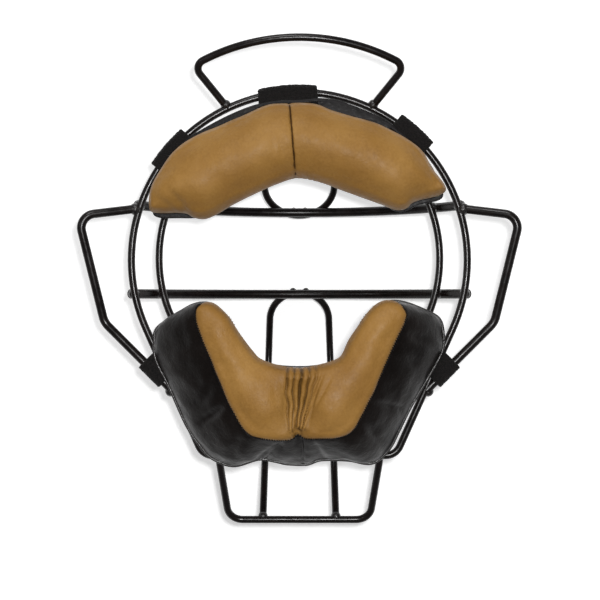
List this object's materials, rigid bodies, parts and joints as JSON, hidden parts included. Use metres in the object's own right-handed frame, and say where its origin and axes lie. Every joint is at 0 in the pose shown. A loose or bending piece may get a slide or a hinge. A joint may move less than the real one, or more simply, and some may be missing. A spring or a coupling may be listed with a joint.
{
  "type": "catcher's face mask",
  "caption": "Wire face mask of welded coated bars with a top hoop, ear guards and throat loop, and two leather pads held by fold-over hook-and-loop tabs.",
  "frame": {"origin": "in the plane of the main ring, on the centreline, midway between the two eye bars' heights", "axes": "+Z to the top of the mask as worn, +Y forward out of the mask through the cage, +X to the wearer's right; the pads are on the -Y side, towards the face"},
  "size_m": [0.2804, 0.1301, 0.3128],
  "materials": {
    "coated_wire": "gloss",
    "weld_metal": "gloss",
    "tan_leather": "satin",
    "black_leather": "satin",
    "pad_foam": "matte",
    "piping": "satin",
    "hook_strap": "matte",
    "loop_fabric": "matte"
  },
  "bodies": {
    "mask": {"main_ring": "coated_wire", "inner_hoop": "coated_wire", "upper_eye_bar": "coated_wire", "lower_eye_bar": "coated_wire", "top_hoop": "coated_wire", "brow_loop": "coated_wire", "mouth_loop": "coated_wire", "left_ear_guard": "coated_wire", "right_ear_guard": "coated_wire", "weld_beads": "weld_metal", "forehead_pad_back": "black_leather", "forehead_pad_foam": "pad_foam", "forehead_pad_cover": "tan_leather", "chin_pad_back": "black_leather", "chin_pad_foam": "pad_foam", "chin_pad_walls": "black_leather", "chin_pad_face": "tan_leather", "chin_pad_piping": "piping", "forehead_left_tab_base": "hook_strap", "forehead_left_tab_loop_patch": "loop_fabric", "forehead_centre_tab_base": "hook_strap", "forehead_centre_tab_loop_patch": "loop_fabric", "forehead_right_tab_base": "hook_strap", "forehead_right_tab_loop_patch": "loop_fabric", "chin_left_tab_base": "hook_strap", "chin_left_tab_loop_patch": "loop_fabric", "chin_right_tab_base": "hook_strap", "chin_right_tab_loop_patch": "loop_fabric"},
    "forehead_left_tab": {"forehead_left_tab_flap": "hook_strap"},
    "forehead_centre_tab": {"forehead_centre_tab_flap": "hook_strap"},
    "forehead_right_tab": {"forehead_right_tab_flap": "hook_strap"},
    "chin_left_tab": {"chin_left_tab_flap": "hook_strap"},
    "chin_right_tab": {"chin_right_tab_flap": "hook_strap"}
  },
  "joints": [
    {"name": "forehead_left_tab_fold", "type": "hinge", "parent": "mask", "child": "forehead_left_tab", "pos_m": [-0.08532, 0, 0.06837], "axis": [0.6494, 0, 0.7604], "range_deg": [0, 105]},
    {"name": "forehead_centre_tab_fold", "type": "hinge", "parent": "mask", "child": "forehead_centre_tab", "pos_m": [-0.00777, 0, 0.10663], "axis": [0.9976, 0, 0.0698], "range_deg": [0, 105]},
    {"name": "forehead_right_tab_fold", "type": "hinge", "parent": "mask", "child": "forehead_right_tab", "pos_m": [0.07575, 0, 0.07962], "axis": [0.7431, 0, -0.6691], "range_deg": [0, 105]},
    {"name": "chin_left_tab_fold", "type": "hinge", "parent": "mask", "child": "chin_left_tab", "pos_m": [-0.09574, 0, -0.07888], "axis": [-0.7071, 0, 0.7071], "range_deg": [0, 105]},
    {"name": "chin_right_tab_fold", "type": "hinge", "parent": "mask", "child": "chin_right_tab", "pos_m": [0.09574, 0, -0.07888], "axis": [-0.7071, 0, -0.7071], "range_deg": [0, 105]}
  ]
}
